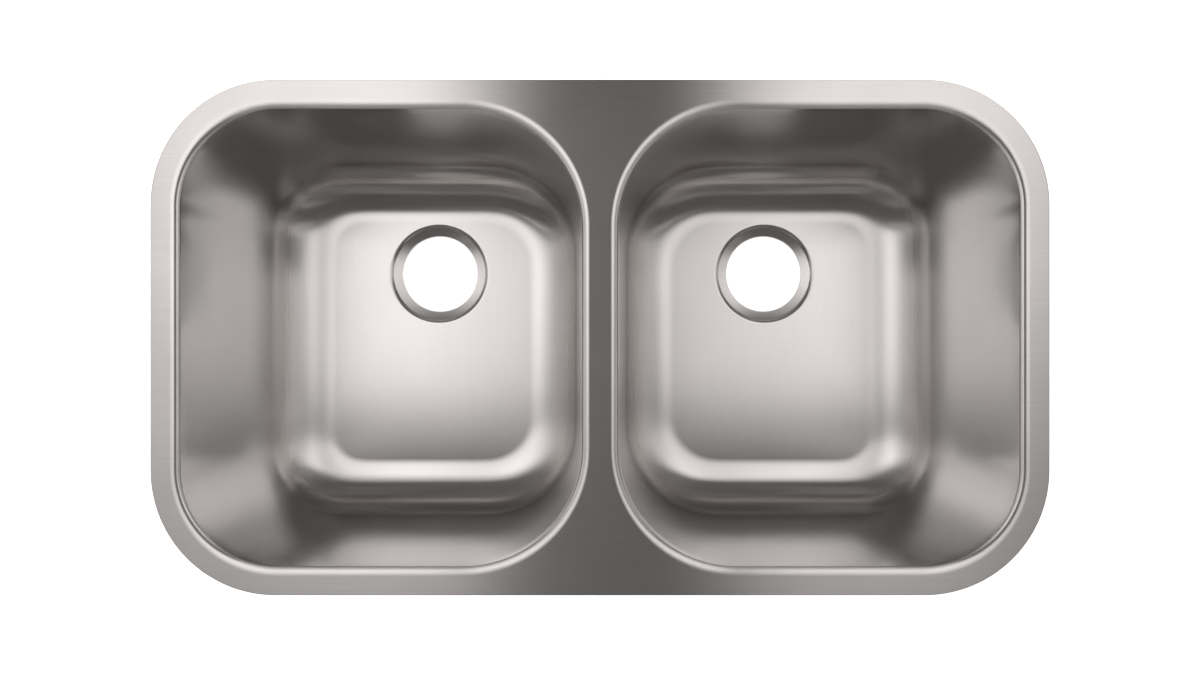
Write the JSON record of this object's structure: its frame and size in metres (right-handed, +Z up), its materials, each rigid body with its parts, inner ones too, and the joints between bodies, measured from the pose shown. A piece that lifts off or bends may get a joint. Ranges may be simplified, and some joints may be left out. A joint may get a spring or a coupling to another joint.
{
  "type": "kitchen sink",
  "caption": "Undermount stainless steel kitchen sink with equal drawn bowls side by side, rear-set drain openings and a flat flange with rounded corners.",
  "frame": {"origin": "under the middle of the sink, level with the underside of the drain lips", "axes": "+X to the right along the flange, +Y to the rear where the drains are, +Z up out of the bowls"},
  "size_m": [0.8192, 0.47, 0.2367],
  "materials": {
    "stainless_steel": "brushed flange, satin bowl",
    "weld_steel": "ground flush and brushed",
    "undercoat": "sprayed, matte, fine pebble",
    "sound_pad": "matte rubber sheet"
  },
  "bodies": {
    "root": {"left_bowl": "stainless_steel", "right_bowl": "stainless_steel", "centre_weld": "weld_steel", "left_undercoat": "undercoat", "right_undercoat": "undercoat", "left_bottom_pad": "sound_pad", "left_outer_pad": "sound_pad", "left_inner_pad": "sound_pad", "left_front_pad": "sound_pad", "left_rear_pad": "sound_pad", "right_bottom_pad": "sound_pad", "right_outer_pad": "sound_pad", "right_inner_pad": "sound_pad", "right_front_pad": "sound_pad", "right_rear_pad": "sound_pad"}
  },
  "joints": []
}
